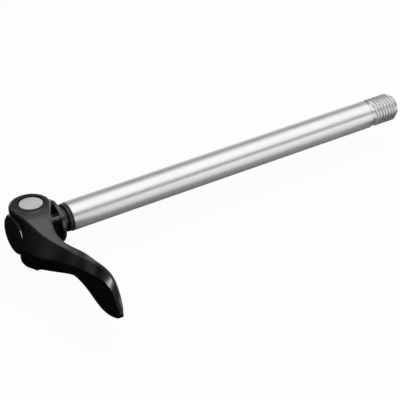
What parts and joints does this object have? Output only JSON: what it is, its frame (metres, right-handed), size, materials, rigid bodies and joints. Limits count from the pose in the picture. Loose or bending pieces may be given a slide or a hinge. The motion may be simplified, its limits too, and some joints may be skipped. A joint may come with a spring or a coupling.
{
  "type": "rear thru axle",
  "caption": "Bicycle rear thru axle: a hollow shaft threaded at its far end, with a cam head whose swinging lever draws the shaft tight against the frame.",
  "frame": {"origin": "centre of the face that clamps on the frame, on the axle's axis", "axes": "+Y along the axle towards its thread, +Z along the lever's pivot, +X the way the closed lever points"},
  "size_m": [0.0816, 0.1882, 0.0278],
  "materials": {
    "turned_aluminium": "satin",
    "black_rubber": "matte",
    "black_steel": "satin",
    "black_housing": "gloss",
    "bronze": "satin",
    "bright_steel": "satin",
    "black_lever": "satin"
  },
  "bodies": {
    "head": {"housing": "black_housing", "clamp_washer": "black_steel", "upper_bush": "bronze", "lower_bush": "bronze"},
    "lever": {"lever": "black_lever", "cam_shaft": "bright_steel"},
    "axle": {"axle_shaft": "turned_aluminium", "draw_bolt": "bright_steel", "seal_ring": "black_rubber"}
  },
  "joints": [
    {"name": "lever_swing", "type": "hinge", "parent": "head", "child": "lever", "pos_m": [0, -0.0111, 0], "axis": [0, 0, -1], "range_deg": [0, 180]},
    {"name": "axle_draw", "type": "slide", "parent": "head", "child": "axle", "axis": [0, 1, 0], "range_m": [0, 0.0016]}
  ],
  "couplings": [
    {"joint": "axle_draw", "follows": "lever_swing", "m_per_rad": 0.000509}
  ]
}
